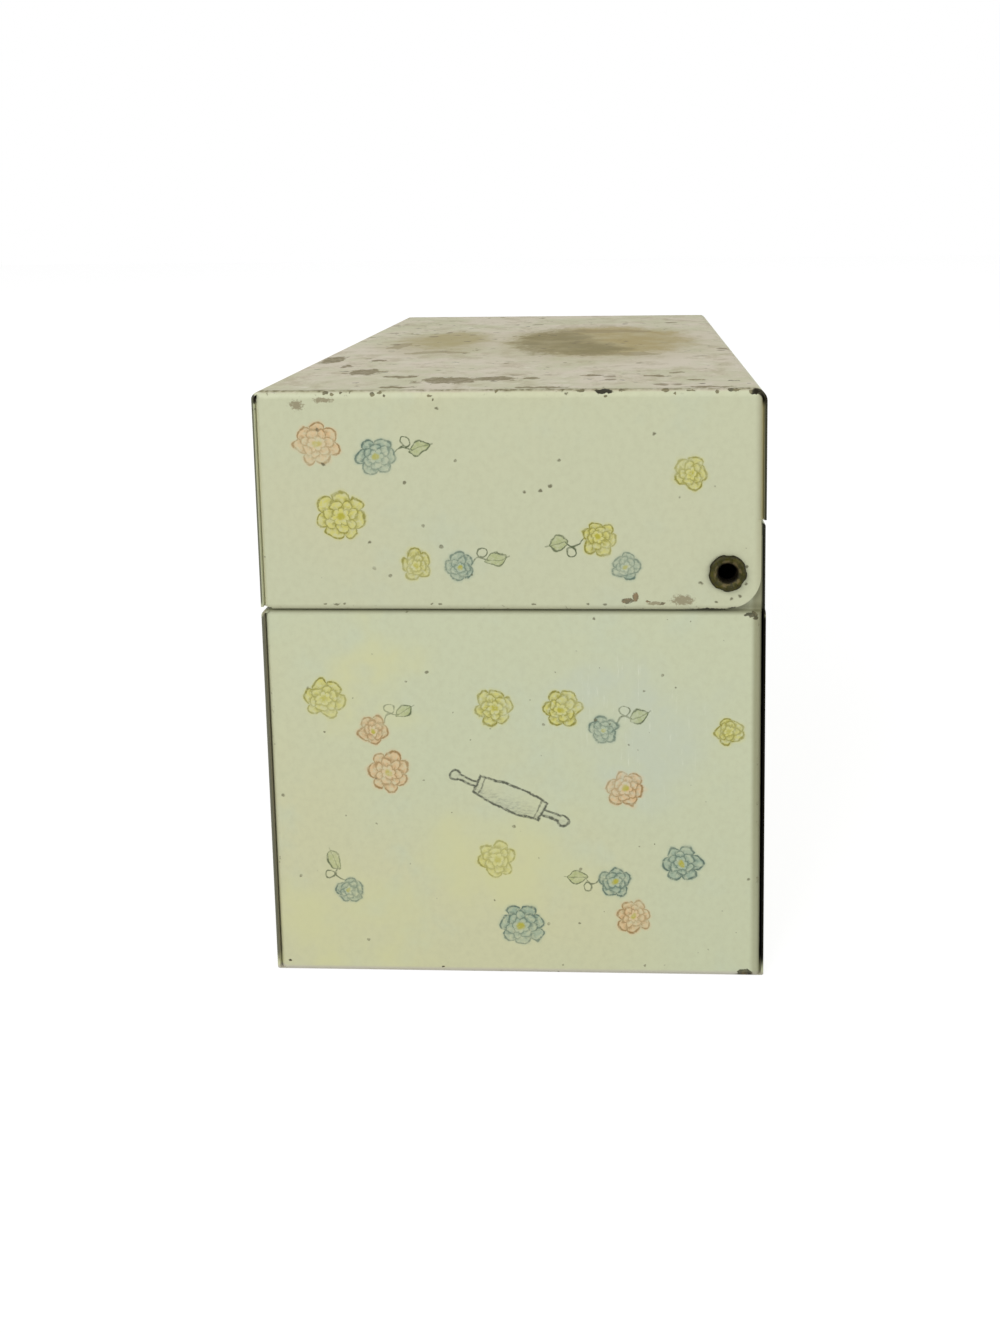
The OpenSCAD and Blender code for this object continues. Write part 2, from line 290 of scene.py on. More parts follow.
def posies(tree, under, walls, x, y, z, across_x, layout, lowest, highest, kept_clear):
    """Prints small double flowers with sprigs over the enamel, none of them cut by an edge."""
    along, apart, reach, on_end = panel_place(tree, x, y, across_x, layout)
    flat = spot_of(tree, calc(tree, "ADD", along, apart), z, 0.0)
    drawn = wander(tree, wander(tree, flat, 0.3, 1.8, 1.0), 1.5, 0.4, 2.0)
    drawn = shift(tree, "MULTIPLY", drawn, (1, 1, 0))
    cells = flower_cells(tree, drawn)
    centre = cells["Position"]
    to_next = flower_cells(tree, centre, "DISTANCE_TO_EDGE")["Distance"]
    room = calc(tree, "MULTIPLY_ADD", to_next, flower_spacing, -0.5)
    kind, size, turn = put(tree, "SeparateXYZ", cells["Color"]).outputs
    radius = calc(tree, "MINIMUM", calc(tree, "MULTIPLY_ADD", size, 2.5, 2.2), room)

    def in_field(point, margin):
        across, height, _ = put(tree, "SeparateXYZ", point).outputs
        across = calc(tree, "ABSOLUTE", calc(tree, "SUBTRACT", across, apart))
        return across, height, both(
            tree,
            calc(tree, "LESS_THAN", calc(tree, "ADD", across, margin), reach),
            calc(tree, "GREATER_THAN", calc(tree, "SUBTRACT", height, margin), lowest),
            calc(tree, "LESS_THAN", calc(tree, "ADD", height, margin), highest),
        )

    across, height, clear = in_field(centre, calc(tree, "ADD", radius, 1.2))
    clear = both(tree, clear, calc(tree, "GREATER_THAN", radius, 1.7), walls)
    for (at, high_up), (wide, tall) in kept_clear:
        off = shift(tree, "SUBTRACT", spot_of(tree, across, height), (at, high_up, 0))
        off = shift(tree, "LENGTH", shift(tree, "DIVIDE", off, (wide, tall, 1)))
        far = calc(tree, "GREATER_THAN", off, 1.0)
        clear = both(tree, clear, either(tree, far, calc(tree, "SUBTRACT", 1.0, on_end)))

    away = shift(tree, "SUBTRACT", drawn, centre)
    over, up, _ = put(tree, "SeparateXYZ", away).outputs
    distance = shift(tree, "LENGTH", away)
    drawing, fill, eye = flower_head(tree, over, up, distance, radius, size, turn)

    # Only a flower with room for it in its own patch of ground has a sprig
    lean = calc(tree, "MULTIPLY", calc(tree, "FRACT", calc(tree, "MULTIPLY", turn, 9.7)), full_turn)
    cos, sin = calc(tree, "COSINE", lean), calc(tree, "SINE", lean)
    reached = calc(tree, "ADD", radius, 6.6)
    tip = shift(tree, "ADD", centre, spot_of(tree, both(tree, cos, reached), both(tree, sin, reached)))
    fits = calc(tree, "LESS_THAN", shift(tree, "DISTANCE", flower_cells(tree, tip)["Position"], centre), 0.5)
    fits = both(tree, fits, in_field(tip, 1.0)[2])
    leaf, sprig_lines = sprig(tree, over, up, radius, cos, sin)
    has_sprig = both(tree, fits, clear)

    # The inks are thin and worn, so the enamel shows through them
    patchy = mottle(tree, flat, 1.1, 4.0, 0.75)
    faint = fade(tree, mottle(tree, flat, 0.11, 2.0), 0.36, 0.58, 0.6, 1.0)
    wash = both(tree, fade(tree, patchy, 0.34, 0.62, 0.35, 0.9), faint)
    pencil = both(tree, fade(tree, patchy, 0.34, 0.54, 0.4, 1.0), faint)
    first, second = calc(tree, "LESS_THAN", kind, 0.34), calc(tree, "LESS_THAN", kind, 0.66)
    tint = paint(tree, second, colour(206, 200, 100), colour(219, 182, 134))
    tint = paint(tree, first, tint, colour(146, 168, 148))
    ink = paint(tree, second, colour(134, 130, 54), colour(150, 122, 76))
    ink = paint(tree, first, ink, colour(86, 106, 94))
    under = paint(tree, both(tree, leaf, has_sprig, wash, 0.7), under, colour(152, 164, 92))
    under = paint(tree, both(tree, sprig_lines, has_sprig, pencil), under, colour(88, 98, 68))
    under = paint(tree, both(tree, fill, clear, wash), under, tint)
    under = paint(tree, both(tree, drawing, clear, pencil), under, ink)
    return paint(tree, both(tree, eye, clear, pencil), under, colour(176, 170, 60)), along, on_end


def rolling_pin(tree, under, along, z, on_end, centre, lean):
    """A small rolling pin in soft pencil, in the middle of each end."""
    place = spot_of(tree, along, z, 0.0)
    place = wander(tree, wander(tree, place, 0.3, 1.0, 1.0), 1.6, 0.4, 2.0)
    turned = put(tree, "VectorRotate", shift(tree, "SUBTRACT", place, (*centre, 0)), rotation_type="Z_AXIS")
    feed(tree, turned, Angle=lean)
    lengthwise, crosswise, _ = put(tree, "SeparateXYZ", turned.outputs[0]).outputs
    out, side = calc(tree, "ABSOLUTE", lengthwise), calc(tree, "ABSOLUTE", crosswise)
    belly = calc(tree, "MULTIPLY_ADD", both(tree, out, out), -0.012, 2.3)
    roller = either(tree, calc(tree, "SUBTRACT", out, 6.4), calc(tree, "SUBTRACT", side, belly))
    handle = calc(tree, "SUBTRACT", calc(tree, "ABSOLUTE", calc(tree, "SUBTRACT", out, 8.2)), 1.9)
    handle = either(tree, handle, calc(tree, "SUBTRACT", side, 0.5))
    knob = shift(tree, "LENGTH", spot_of(tree, calc(tree, "SUBTRACT", out, 10.5), crosswise))
    knob = calc(tree, "SUBTRACT", knob, 0.95)
    shape = calc(tree, "MINIMUM", roller, calc(tree, "MINIMUM", handle, knob))
    line = stroke(tree, shape, 0.34, 0.1)
    ring = stroke(tree, calc(tree, "SUBTRACT", out, 5.5), 0.22)
    ring = both(tree, ring, fade(tree, roller, 0.1, -0.1), 0.7)
    grain = mottle(tree, shift(tree, "MULTIPLY", place, (1.0, 4.0, 1.0)), 0.9, 3.0)
    grain = fade(tree, grain, 0.45, 0.62, 0.3, 1.0)
    shade = both(tree, fade(tree, shape, 0.1, -0.2), fade(tree, crosswise, 1.6, -2.2, 0.05, 0.6), grain)
    patchy = fade(tree, mottle(tree, place, 1.3, 4.0, 0.75), 0.34, 0.54, 0.4, 0.95)
    under = paint(tree, both(tree, shade, patchy, on_end), under, colour(126, 130, 116))
    return paint(tree, both(tree, either(tree, line, ring), patchy, on_end), under, colour(76, 80, 66))


def aged_enamel(tree, spot, base, warm, cool):
    """Cream-green enamel, yellowed in clouds and faintly mottled by the wiping of many cloths."""
    clouds = mottle(tree, spot, 0.022, 2.0, 0.5)
    haze = mottle(tree, spot, 0.07, 4.0, 0.6)
    fine = mottle(tree, spot, 0.8, 5.0, 0.7)
    coat = paint(tree, fade(tree, clouds, 0.4, 0.68), base, warm)
    coat = paint(tree, fade(tree, haze, 0.5, 0.72, 0.0, 0.6), coat, cool)
    return paint(tree, fade(tree, fine, 0.35, 0.75, 0.0, 0.18), coat, colour(172, 171, 138)), fine, haze


def specks(tree, spot, spacing, share, size):
    """Dark pinholes and fly specks, each somewhere in its own patch of enamel."""
    cells = put(tree, "TexVoronoi")
    feed(tree, cells, Vector=wander(tree, spot, 1.3, 0.5), Scale=1 / spacing)
    chance, dot, _ = put(tree, "SeparateXYZ", cells.outputs["Color"]).outputs
    reach = calc(tree, "MULTIPLY_ADD", both(tree, dot, dot, dot), size / spacing, 0.15 / spacing)
    mark = fade(tree, cells.outputs["Distance"], reach, calc(tree, "MULTIPLY", reach, 0.6))
    return both(tree, mark, calc(tree, "LESS_THAN", chance, share))


def bare_tin(tree, spot):
    """Tinplate that was never painted: grey, streaked along the sheet and lightly freckled with rust."""
    streak = mottle(tree, shift(tree, "MULTIPLY", spot, (0.06, 1.0, 1.0)), 0.9, 4.0, 0.6)
    rust = fade(tree, mottle(tree, spot, 0.25, 6.0, 0.75), 0.6, 0.74)
    tin = paint(tree, streak, colour(150, 149, 142), colour(186, 184, 176))
    return paint(tree, rust, tin, colour(118, 84, 56)), streak, rust


def roughen(tree, shader, level, strength):
    """Raises and lowers a surface by a height in millimetres."""
    bump = put(tree, "Bump")
    feed(tree, bump, Height=level, Distance=0.001, Strength=strength)
    give(tree, shader.inputs["Normal"], bump.outputs[0])


def finish_shell(tree, surface, layers, inside, rough_top, tin, fine, haze, dull, dark_metallic):
    """Lays the layers of wear, dirt, painted shade and painted light over the enamel or tin of either half
    and joins them to its shader.
    """
    bare, streak, rust = tin
    surface = paint(tree, inside, surface, bare)
    for amount, over in layers:
        surface = paint(tree, amount, surface, over)
    shader = tree.nodes["Principled BSDF"]
    shader.inputs["Specular IOR Level"].default_value = 0.35
    give(tree, shader.inputs["Base Color"], surface)
    clean = calc(tree, "SUBTRACT", 1.0, either(tree, rust, dull))
    give(tree, shader.inputs["Metallic"], either(tree, both(tree, inside, clean, 0.85), dark_metallic))
    gloss = fade(tree, haze, 0.3, 0.7, 0.36, 0.5)
    gloss = calc(tree, "MULTIPLY_ADD", either(tree, dull, rust, rough_top), 0.3, gloss)
    give(tree, shader.inputs["Roughness"], calc(tree, "MINIMUM", gloss, 0.85))
    level = calc(tree, "MULTIPLY_ADD", fine, 0.012, calc(tree, "MULTIPLY", haze, 0.06))
    level = calc(tree, "MULTIPLY_ADD", both(tree, streak, inside), 0.01, level)
    level = calc(tree, "SUBTRACT", level, calc(tree, "MULTIPLY", dull, 0.07))
    roughen(tree, shader, level, 0.8)


def new_finish(name):
    """A new material and its shader nodes."""
    material = bpy.data.materials.new(name)
    material.use_nodes = True
    return material, material.node_tree


def dress(node, material):
    """Gives a folded shell its finish, with its mesh left as it is."""
    for slot in frame["nodes"][node].material_slots:
        slot.material = material


def painted_body(tree, y, z, across_x, across_y):
    """Where the body is painted, which is its outside and the hem folded over at the rim, and its neck."""
    neck = fade(tree, z, shoulder - 0.9, shoulder - 0.1)
    end_x = calc(tree, "MULTIPLY_ADD", neck, neck_set_in, across_x)
    corner_x, corner_y = end_face - 1.7, side_face - 2.0
    ring = calc(tree, "GREATER_THAN", past_corner(tree, end_x, across_y, corner_x, corner_y), 1.5)
    ring = both(tree, ring, calc(tree, "GREATER_THAN", end_x, corner_x))
    front_y = calc(tree, "MULTIPLY_ADD", neck, neck_set_in, calc(tree, "MULTIPLY", y, -1.0))
    outside = either(
        tree,
        ring,
        calc(tree, "GREATER_THAN", front_y, side_face - 0.2),
        calc(tree, "GREATER_THAN", y, side_face - 0.2),
        calc(tree, "LESS_THAN", z, 0.2),
        calc(tree, "GREATER_THAN", z, rim - 2.0),
    )
    return outside, neck


def body_enamel():
    """The body's enamel: clouded, printed, grimy and painted with shade in its corners and seams, with a
    painted highlight along its bottom, and bare tin inside.
    """
    material, tree = new_finish("enamel_body")
    spot, x, y, z, across_x, across_y = place_in_mm(tree)
    chipped = wander(tree, spot, 1.1, 1.0)
    grainy = mottle(tree, spot, 0.7, 5.0, 0.7)
    scuffs = mottle(tree, spot, 0.16, 3.0)
    outside, neck = painted_body(tree, y, z, across_x, across_y)
    inside = calc(tree, "SUBTRACT", 1.0, outside)

    base, warm, cool = colour(201, 206, 174), colour(205, 205, 168), colour(198, 206, 180)
    coat, fine, haze = aged_enamel(tree, spot, base, warm, cool)
    drifting = wander(tree, spot, 0.07, 34.0)
    yellowed = [(-4, 20, 24, 15), (-34, 8, 18, 12), (-24, 58, 14, 10)]
    yellowed = end_blots(tree, drifting, yellowed, 0.9, deep=40)
    yellowed = both(tree, yellowed, fade(tree, haze, 0.34, 0.58, 0.1, 0.8))
    coat = paint(tree, yellowed, coat, colour(208, 208, 160))
    bluish = end_blots(tree, drifting, [(24, 46, 15, 17), (12, 52, 14, 12)], 0.8, deep=40)
    coat = paint(tree, both(tree, bluish, fade(tree, haze, 0.6, 0.4, 0.15, 0.6)), coat, colour(194, 202, 184))
    scratches = mottle(tree, shift(tree, "MULTIPLY", spot, (1.0, 1.0, 0.12)), 1.6, 4.0, 0.7)
    scratches = both(tree, fade(tree, scratches, 0.58, 0.72), bluish, 0.7)
    coat = paint(tree, scratches, coat, colour(216, 220, 200))
    above_floor = calc(tree, "GREATER_THAN", z, 1.0)
    walls = both(tree, outside, above_floor, calc(tree, "LESS_THAN", z, shoulder - 1.2))
    highest, around_pin = shoulder - 2.2, [((0, pin_middle[1]), (17.5, 10))]
    coat, along, on_end = posies(tree, coat, walls, x, y, z, across_x, body_print, 2.5, highest, around_pin)
    coat = rolling_pin(tree, coat, along, z, both(tree, on_end, walls), pin_middle, lean=0.42)

    # The sheet's cut edges show up the sides of both ends, pale grey-green at the front and near-black at the
    # back. Painted shade fills the groove beside each end, grey at the front and near-black at the back, and
    # the groove round the back corner.
    front = fade(tree, y, 1.0, -1.0)
    low = fade(tree, z, 1.0, 4.0)
    cut = both(
        tree,
        fade(tree, across_x, end_face - 0.2, end_face - 0.08),
        fade(tree, across_y, side_face - 0.6, side_face - 0.5),
        low,
        fade(tree, z, shoulder - 0.5, shoulder - 1.3),
    )
    groove = both(
        tree,
        fade(tree, across_x, end_face - 1.4, end_face - 1.1),
        fade(tree, across_y, side_face - 0.76, side_face - 0.6),
        low,
        calc(tree, "LESS_THAN", across_y, side_face - 0.2),
    )
    far_groove_shade = both(
        tree,
        fade(tree, calc(tree, "MULTIPLY_ADD", scuffs, 1.2, across_x), end_face - 1.5, end_face - 1.3),
        fade(tree, y, side_face - 0.76, side_face - 0.6),
        low,
        fade(tree, z, shoulder - 0.1, shoulder - 0.5),
        fade(tree, across_x, end_face - 0.08, end_face - 0.2),
    )
    # Metallic darkens the cut edges at the back, and deepens the painted shade in the back grooves
    dark_metallic = both(tree, either(tree, cut, groove, far_groove_shade), calc(tree, "GREATER_THAN", y, 0.0))
    neck_cut = both(
        tree,
        fade(tree, across_x, end_face - 1.7, end_face - 1.5),
        fade(tree, y, side_face - 0.55, side_face - 0.4),
        neck,
    )

    # Painted shade darkens the bend at the back corner, the shoulder and neck under the lid's edge, and the
    # neck under the ear. A painted highlight runs along the bottom bend of each end, and grime marks the back
    # corner.
    shaded = both(
        tree,
        fade(tree, y, side_face - 2.7, side_face - 1.7),
        fade(tree, across_x, end_face - 1.9, end_face - 1.3),
        fade(tree, z, 1.0, 40.0, 0.6, 1.0),
        0.7,
    )
    shade_under_ear = fade(tree, across_x, end_face - 1.6, end_face - 1.4)
    shade_under_ear = both(tree, shade_under_ear, fade(tree, z, shoulder + 11.3, shoulder + 4.3), 0.3)
    neck_shade = both(
        tree,
        fade(tree, z, shoulder - 0.9, shoulder, 0.0, 0.62),
        either(tree, fade(tree, z, shoulder + 2.3, shoulder + 0.3), shade_under_ear),
        outside,
    )
    bottom_highlight = both(tree, fade(tree, z, 1.3, 0.7), fade(tree, across_x, end_face - 1.9, end_face - 1.1), 0.8)
    grimy = [(41.9, 68.2, 1.9, 0.6), (42.7, 67.6, 0.9, 0.5), (41.4, 0.9, 2.4, 0.9)]
    grimy = ragged(tree, end_blots(tree, chipped, grimy, 0.7), grainy, 0.7)

    # The edges are rubbed and nicked here and there
    seldom = fade(tree, scuffs, 0.46, 0.6)
    near_floor, near_end = fade(tree, z, 0.9, 0.3), fade(tree, across_x, end_face - 0.6, end_face - 0.1)
    along_edge = either(
        tree,
        both(tree, near_end, near_floor),
        both(tree, fade(tree, across_y, side_face - 0.5, side_face - 0.1), near_floor),
        both(tree, near_end, fade(tree, across_y, side_face - 1.7, side_face - 1.1)),
    )
    worn = both(tree, along_edge, fade(tree, grainy, 0.58, 0.66), seldom)
    nicks = [(41.2, 0.5, 2.0, 0.6), (-42.1, 1.9, 0.3, 0.3), (-13.9, 1.2, 0.3, 0.3)]
    nicks = end_blots(tree, chipped, nicks, 0.4)
    pits = both(tree, specks(tree, spot, 3.0, 0.2, 0.34), outside, fade(tree, grainy, 0.34, 0.6, 0.3, 0.75))

    edge_colour = paint(tree, front, colour(14, 13, 10), colour(98, 98, 82))
    groove_colour = paint(tree, front, colour(10, 10, 8), colour(146, 142, 116))
    grime_colour = paint(tree, fade(tree, fine, 0.4, 0.6), colour(54, 52, 30), colour(100, 94, 64))
    worn_colour = paint(tree, fade(tree, fine, 0.36, 0.56), colour(46, 42, 28), colour(100, 90, 60))
    layers = [
        # A painted highlight along the bottom, then painted shade on the back bend and under the lid's edge
        (bottom_highlight, colour(192, 187, 174)),
        (shaded, colour(132, 130, 96)),
        (neck_shade, colour(98, 96, 66)),
        (both(tree, grimy, 0.9), grime_colour),
        (pits, colour(92, 88, 60)),
        (either(tree, worn, nicks), worn_colour),
        # Painted shade in the grooves
        (either(tree, both(tree, groove, 0.95), far_groove_shade), groove_colour),
        (both(tree, cut, 0.96), edge_colour),
        (both(tree, neck_cut, 0.92), colour(24, 23, 16)),
    ]
    dull = either(tree, worn, nicks, grimy, cut, groove, neck_cut)
    finish_shell(tree, coat, layers, inside, 0.0, bare_tin(tree, spot), fine, haze, dull, dark_metallic)
    return material


dress("body_shell", body_enamel())

# Lid. The second sheet is folded down from the top, with a flange at front and back and an ear at each
# end for the hinge. Years of hands and hot pans have stained its top brown, and its edges are chipped
# down to the dark metal.

# Millimetres: its height, the lower edge of its back flange, its bends' radius, and its hems, of which
# those on the ends stop at the ears
top = round(1000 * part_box("lid_shell")[1][2], 2)
back_edge = 84.7
top_bend = 1.3
hem = 2.0
end_hem_stops = 37.4
lid_print = 101.0


def top_blots(tree, place, marks, soft):
    """Stains on the top, each by where it is along and across the box, and its two half widths."""
    places = [((along, across, top), (long, wide, 20)) for along, across, long, wide in marks]
    return blots(tree, place, places, soft)


def top_stains(tree, coat, spot, on_top, fine, haze):
    """The top has lost its gloss: greyed, browned by hot pans, freckled, and scabbed by the near end."""
    drift = wander(tree, spot, 0.13, 9.0, 5.0)
    tight = wander(tree, spot, 0.5, 3.0, 4.0)
    coarse = mottle(tree, spot, 0.42, 6.0, 0.75)
    blush = mottle(tree, spot, 0.06, 5.0, 0.7)
    streaky = mottle(tree, shift(tree, "MULTIPLY", spot, (1.0, 0.35, 1.0)), 0.5, 5.0, 0.75)
    grey = paint(tree, fade(tree, blush, 0.38, 0.62), colour(194, 192, 162), colour(208, 199, 180))
    grey = paint(tree, fade(tree, streaky, 0.52, 0.7, 0.0, 0.7), grey, colour(220, 216, 200))
    coat = paint(tree, both(tree, on_top, 0.95), coat, grey)
    dusk = fade(tree, mottle(tree, spot, 0.17, 6.0, 0.75), 0.48, 0.64, 0.0, 0.6)
    coat = paint(tree, both(tree, dusk, on_top), coat, colour(172, 162, 132))

    # Two large stains, pale at the front and ochre behind, with darker arcs and an olive middle
    halo = top_blots(tree, drift, [(0, -22, 30, 19), (0, 14, 44, 36)], 0.6)
    coat = paint(tree, both(tree, halo, on_top, 0.6), coat, colour(178, 170, 136))
    thin = fade(tree, mottle(tree, spot, 0.11, 5.0, 0.7), 0.32, 0.6, 0.6, 1.0)
    pale = ragged(tree, top_blots(tree, drift, [(-8, -22, 30, 17)], 0.9), coarse, 0.5, 0.32)
    coat = paint(tree, both(tree, pale, on_top, thin, 0.95), coat, colour(166, 155, 110))
    ochre = ragged(tree, top_blots(tree, drift, [(-6, 15, 43, 31)], 0.7), coarse, 0.5, 0.3)
    coat = paint(tree, both(tree, ochre, on_top, thin), coat, colour(163, 148, 98))
    arcs = [(16, -21, 4, 11), (20, 20, 5, 14), (-24, 16, 6, 20), (4, -31, 9, 3)]
    arcs = ragged(tree, top_blots(tree, drift, arcs, 0.8), coarse)
    coat = paint(tree, both(tree, arcs, on_top, 0.5), coat, colour(132, 118, 78))
    olive = top_blots(tree, drift, [(-4, 4, 38, 15), (10, 12, 18, 14)], 0.8)
    olive = ragged(tree, olive, coarse, 0.6, 0.34)
    coat = paint(tree, both(tree, olive, on_top, thin, 0.9), coat, colour(126, 117, 76))

    scabs = [
        (44, -30, 6.4, 6.6), (55, -12, 6.2, 10), (53.5, -4, 4.4, 8), (50.5, -21.5, 2.6, 5), (27, -41, 10, 4),
        (28, -31, 3, 3), (36, -36, 4, 2.4), (62.5, -20, 1.6, 6), (63.4, 6, 1.6, 9), (63.6, 35, 1.5, 8),
        (53, 3, 2, 3), (50, 14, 1.8, 3.4), (51, 26, 2, 4), (47, 30, 1.6, 2.6), (56, 33, 1.6, 3.6),
    ]
    scabs = ragged(tree, top_blots(tree, tight, scabs, 0.9), coarse, 1.0)
    scabs = both(tree, scabs, on_top, fade(tree, fine, 0.3, 0.6, 0.65, 1.0))
    coat = paint(tree, both(tree, scabs, 0.92), coat, colour(116, 106, 70))
    often = fade(tree, haze, 0.36, 0.54)
    freckles = both(tree, specks(tree, tight, 3.0, 0.4, 1.9), on_top, often)
    coat = paint(tree, both(tree, freckles, 0.7), coat, colour(116, 104, 74))
    flecks = shift(tree, "MULTIPLY", tight, (1.4, 0.7, 1.0))
    flecks = both(tree, specks(tree, flecks, 2.0, 0.3, 0.7), on_top, often)
    return paint(tree, both(tree, flecks, 0.8), coat, colour(84, 78, 64)), either(tree, scabs, freckles)


def painted_lid(tree, y, z, across_x, across_y, over_back):
    """Where the lid is painted, which is its outside and the hems folded over at its lower edges."""
    forward = calc(tree, "MULTIPLY", y, -1.0)
    past_end, past_back = end_face - 1.6, side_face - 0.9
    ring = past_corner(tree, across_x, across_y, past_end, side_face - 1.9)
    over_end = past_corner(tree, across_x, z, end_face - top_bend, top - top_bend)
    over_front = past_corner(tree, forward, z, side_face - top_bend, top - top_bend)
    return either(
        tree,
        calc(tree, "GREATER_THAN", over_end, 1.1),
        calc(tree, "GREATER_THAN", over_front, 1.1),
        both(tree, calc(tree, "GREATER_THAN", over_back, 1.8), calc(tree, "GREATER_THAN", y, 0.0)),
        both(tree, calc(tree, "GREATER_THAN", ring, 1.4), calc(tree, "GREATER_THAN", across_x, past_end)),
        both(tree, calc(tree, "LESS_THAN", z, lid_edge + hem), calc(tree, "LESS_THAN", y, end_hem_stops)),
        both(tree, calc(tree, "GREATER_THAN", y, past_back), calc(tree, "LESS_THAN", z, back_edge + hem)),
    )


def lid_enamel():
    """The lid's enamel: printed round its sides, stained on top, chipped along its edges, bare inside."""
    material, tree = new_finish("enamel_lid")
    spot, x, y, z, across_x, across_y = place_in_mm(tree)
    chipped = wander(tree, spot, 1.2, 0.8)
    grainy = mottle(tree, spot, 0.9, 5.0, 0.7)
    scuffs = mottle(tree, spot, 0.13, 3.0)
    over_back = past_corner(tree, y, z, side_face - 2.0, top - 2.0)
    outside = painted_lid(tree, y, z, across_x, across_y, over_back)
    inside = calc(tree, "SUBTRACT", 1.0, outside)

    base, warm, cool = colour(200, 203, 171), colour(203, 202, 167), colour(196, 202, 175)
    coat, fine, haze = aged_enamel(tree, spot, base, warm, cool)
    walls = both(tree, outside, calc(tree, "LESS_THAN", z, top - 2.5))
    lowest = fade(tree, y, side_face - 0.6, side_face - 0.5, lid_edge + hem, back_edge + 1.7)
    around_eyelet = [((37.8, 75.6), (9, 9))]
    coat = posies(tree, coat, walls, x, y, z, across_x, lid_print, lowest, top - 2.4, around_eyelet)[0]
    on_top = fade(tree, z, top - 0.5, top - 0.1)
    coat, marks = top_stains(tree, coat, spot, on_top, fine, haze)

    # The sheet's cut edges show up the sides of both ends, as on the body
    front = fade(tree, y, 1.0, -1.0)
    back_cut = fade(tree, y, side_face - 0.5, side_face - 0.38)
    front_cut = fade(tree, y, 0.38 - side_face, 0.24 - side_face)
    cut = both(
        tree,
        fade(tree, across_x, end_face - 0.2, end_face - 0.08),
        either(tree, back_cut, front_cut),
        fade(tree, z, lid_edge + 0.4, lid_edge + 1.4),
    )
    back_band = both(
        tree,
        fade(tree, over_back, 1.1, 1.3),
        fade(tree, y, side_face - 2.6, side_face - 2.0),
        fade(tree, z, top - 3.4, top - 1.8),
        fade(tree, across_x, end_face - 1.3, end_face - 0.9),
    )
    # The groove beside each end is painted with light: near the enamel's colour at the back and paler than it
    # at the front, to lift the groove's shade
    groove = both(
        tree,
        fade(tree, across_x, end_face - 2.5, end_face - 2.1),
        fade(tree, across_y, side_face - 1.0, side_face - 0.7),
        calc(tree, "LESS_THAN", across_y, side_face - 0.41),
        fade(tree, z, top - 1.1, top - 1.6),
    )
    # Painted shade on the bend at the back corner of each end, deeper higher up
    shaded = both(
        tree,
        fade(tree, y, side_face - 2.3, side_face - 0.7),
        fade(tree, across_x, end_face - 1.5, end_face - 0.9),
        fade(tree, z, lid_edge + 1.0, lid_edge + 15.0, 0.5, 1.0),
        0.55,
    )
    # Painted shade darkening the enamel towards the lid's lower edge
    lower = both(tree, fade(tree, z, lid_edge + 1.1, lid_edge + 0.1), outside, 0.42)

    # A dirty line runs along the bend over each end, and the bends are rubbed here and there
    seam_line = both(
        tree,
        fade(tree, across_x, end_face - 2.2, end_face - 1.5),
        fade(tree, across_x, end_face - 0.4, end_face - 0.9),
        fade(tree, z, top - 0.9, top - 0.6),
        fade(tree, grainy, 0.36, 0.6, 0.3, 1.0),
        fade(tree, scuffs, 0.34, 0.56, 0.45, 1.0),
    )
    seldom = fade(tree, scuffs, 0.42, 0.58)
    near_top = fade(tree, z, top - 1.1, top - 0.6)
    at_lower_edge = fade(tree, across_x, end_face - 0.6, end_face - 0.4)
    at_lower_edge = both(tree, at_lower_edge, fade(tree, z, lid_edge + 1.0, lid_edge + 0.4))
    brink = either(
        tree,
        both(tree, fade(tree, across_x, end_face - 1.5, end_face - 1.0), near_top),
        both(tree, fade(tree, across_y, side_face - 1.1, side_face - 0.5), near_top),
        at_lower_edge,
    )
    worn = both(tree, brink, fade(tree, grainy, 0.6, 0.66), seldom)

    # Chips along the top edge, two of them black, and the corner knocked bare
    nicks = [
        (-31.6, 107.7, 0.9, 0.5), (-30.4, 107.4, 0.6, 0.4), (-28.9, 107.6, 0.3, 0.3),
        (-23.4, 107.4, 0.7, 0.5), (-22.2, 107.7, 0.8, 0.4), (-21.3, 107.2, 0.5, 0.4),
        (-13.4, 107.1, 0.8, 0.3), (-12.8, 106.4, 0.3, 0.4), (-2.0, 107.8, 0.5, 0.3),
        (12.6, 107.8, 1.2, 0.3), (16.6, 107.7, 2.4, 0.7), (19.6, 107.8, 0.9, 0.3), (17.0, 106.8, 0.6, 0.3),
        (27.2, 107.8, 1.2, 0.4), (28.8, 107.4, 0.4, 0.3), (31.4, 107.8, 1.4, 0.3), (36.0, 107.5, 0.5, 0.5),
        (38.8, 107.8, 1.8, 0.35), (42.2, 107.5, 1.6, 0.8),
    ]
    nicks = ragged(tree, end_blots(tree, chipped, nicks, 0.8), grainy, 0.6)
    black_nick = [(16.6, 107.6, 2.4, 1.0), (42.8, 107.4, 1.4, 1.0)]
    black_nick = both(tree, nicks, end_blots(tree, chipped, black_nick, 0.5))
    knocked = end_blots(tree, chipped, [(-44.4, 106.7, 0.8, 1.1), (-44.5, 104.9, 0.4, 0.5)], 0.4)
